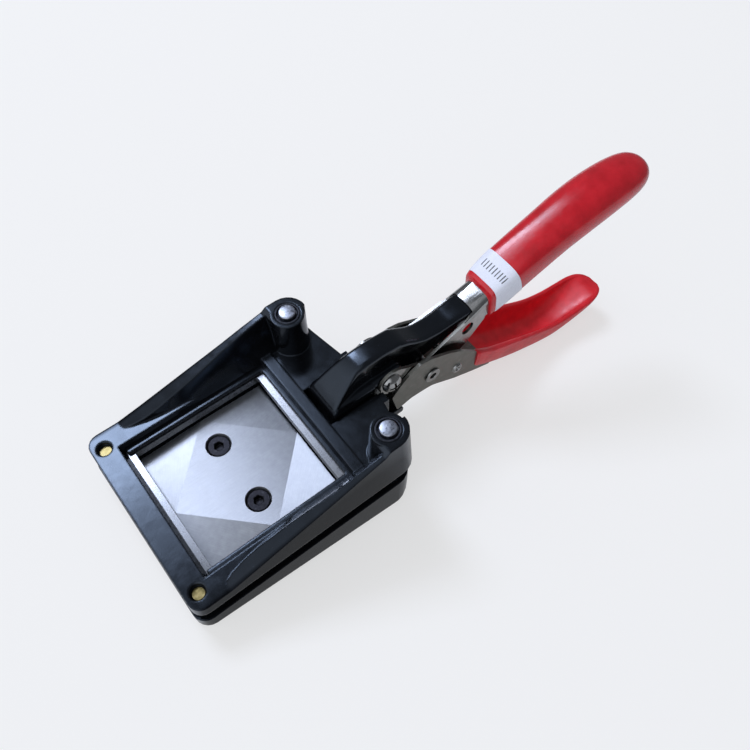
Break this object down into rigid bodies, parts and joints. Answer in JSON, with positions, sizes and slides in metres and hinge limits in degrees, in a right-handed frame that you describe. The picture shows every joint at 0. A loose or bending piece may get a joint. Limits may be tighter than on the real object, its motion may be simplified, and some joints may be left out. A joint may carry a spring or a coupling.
{
  "type": "photo punch",
  "caption": "Plier-handled photo punch: a square ground punch on a wedge base, a windowed die frame sliding on guide posts, and red grips on pressed handles.",
  "frame": {"origin": "on the base casting's slanted underside, straight below the centre of the punch", "axes": "+X towards the handles, +Z square to the punch face and out of it, +Y to the left seen from the front with the punch facing up"},
  "size_m": [0.2294, 0.0746, 0.0876],
  "materials": {
    "enamel": "glossy black enamel on castings",
    "ground_steel": "surface ground",
    "black_steel": "black oxide",
    "plated_steel": "nickel plated, satin",
    "lever_steel": "dull grey plated sheet",
    "spring_steel": "drawn wire",
    "red_plastic": "glossy red sleeve",
    "label_paper": "white coated paper"
  },
  "bodies": {
    "base": {"base_casting": "enamel", "punch_block": "ground_steel", "punch_screw_left": "black_steel", "punch_screw_right": "black_steel", "guide_post_left": "ground_steel", "guide_post_right": "ground_steel", "return_spring_left": "spring_steel", "return_spring_right": "spring_steel", "upper_handle": "plated_steel", "ear_screw": "plated_steel", "ear_nut": "plated_steel", "pivot_rivet": "plated_steel", "upper_grip": "red_plastic", "size_band": "label_paper"},
    "frame": {"die_frame": "enamel", "die_plate": "ground_steel", "die_screw_front_left": "plated_steel", "die_screw_front_right": "plated_steel", "die_screw_rear_left": "plated_steel", "die_screw_rear_right": "plated_steel", "guide_bush_left": "ground_steel", "guide_bush_right": "ground_steel"},
    "lever": {"lower_lever": "lever_steel", "lever_rivet": "plated_steel", "lower_grip": "red_plastic"}
  },
  "joints": [
    {"name": "lever_pivot", "type": "hinge", "parent": "base", "child": "lever", "pos_m": [0.0793, 0, 0.01], "axis": [0, -1, 0], "range_deg": [0, 12.6], "stiffness_Nm_per_rad": 1.75, "springref_deg": -21},
    {"name": "die_slide", "type": "slide", "parent": "base", "child": "frame", "axis": [0, 0, -1], "range_m": [0, 0.0036], "stiffness_N_per_m": 400, "springref_m": -0.006, "deforming": ["return_spring_left", "return_spring_right"]}
  ],
  "couplings": [
    {"joint": "lever_pivot", "follows": "die_slide", "rad_per_m": 61.08}
  ]
}
